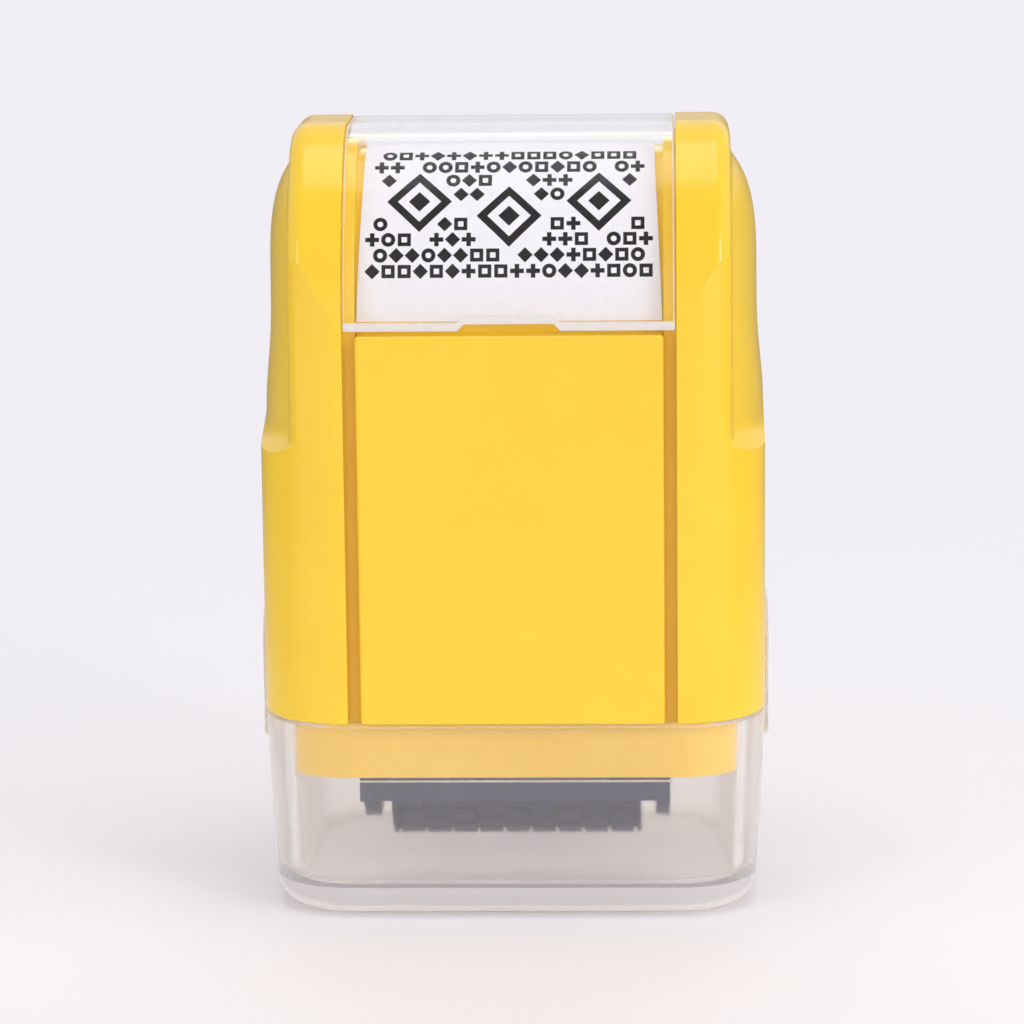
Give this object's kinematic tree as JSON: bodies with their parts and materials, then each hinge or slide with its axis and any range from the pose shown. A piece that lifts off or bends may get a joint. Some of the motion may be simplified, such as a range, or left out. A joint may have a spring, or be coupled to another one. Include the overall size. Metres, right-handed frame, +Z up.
{
  "type": "privacy roller stamp",
  "caption": "Hand-held privacy roller stamp: arched yellow housing with scooped grips, clear window over a label, inked rubber drum on a cartridge, frosted base cap with clip ears.",
  "frame": {"origin": "middle of the cap's base, on the surface that the stamp stands on", "axes": "X across the width, -Y towards the front panel, +Z up"},
  "size_m": [0.0528, 0.034, 0.0814],
  "materials": {
    "yellow_shell": "smooth glossy yellow moulded plastic",
    "frosted_cap": "milky translucent moulded plastic with a fine satin face",
    "clear_window": "clear polished moulded plastic",
    "label_paper": "white coated paper with a grey printed pattern",
    "steel": "bright ground steel",
    "dark_plastic": "dark navy moulded plastic, satin",
    "pale_bush": "natural white bearing plastic",
    "stamp_rubber": "dark moulded rubber, ink stained",
    "ink_foam": "fine open-cell foam soaked in dark ink",
    "ink_felt": "dense felt soaked in dark ink"
  },
  "bodies": {
    "cap": {"base_cap": "frosted_cap"},
    "housing": {"front_shell": "yellow_shell", "rear_shell": "yellow_shell", "left_cheek": "yellow_shell", "right_cheek": "yellow_shell", "label_card": "label_paper", "neck_frame": "yellow_shell", "neck_screws": "steel", "cartridge_hood": "dark_plastic", "left_end_plate": "dark_plastic", "right_end_plate": "dark_plastic", "left_drum_bush": "pale_bush", "right_drum_bush": "pale_bush", "ink_felt": "ink_felt"},
    "window": {"window_cover": "clear_window"},
    "drum": {"drum_hub": "dark_plastic", "stamp_sleeve": "stamp_rubber", "drum_axle": "steel"},
    "ink_roller": {"ink_roller_core": "pale_bush", "ink_roller_foam": "ink_foam", "ink_roller_axle": "steel"}
  },
  "joints": [
    {"name": "housing_lift", "type": "slide", "parent": "cap", "child": "housing", "axis": [0, 0, 1], "range_m": [0, 0.03]},
    {"name": "window_lift", "type": "slide", "parent": "housing", "child": "window", "axis": [0, 0, 1], "range_m": [0, 0.024]},
    {"name": "drum_spin", "type": "hinge", "parent": "housing", "child": "drum", "pos_m": [0, 0, 0.015], "axis": [1, 0, 0], "continuous": true},
    {"name": "ink_roller_spin", "type": "hinge", "parent": "housing", "child": "ink_roller", "pos_m": [0, 0, 0.0297], "axis": [1, 0, 0], "continuous": true}
  ],
  "couplings": [
    {"joint": "ink_roller_spin", "follows": "drum_spin", "ratio": -1.9}
  ]
}
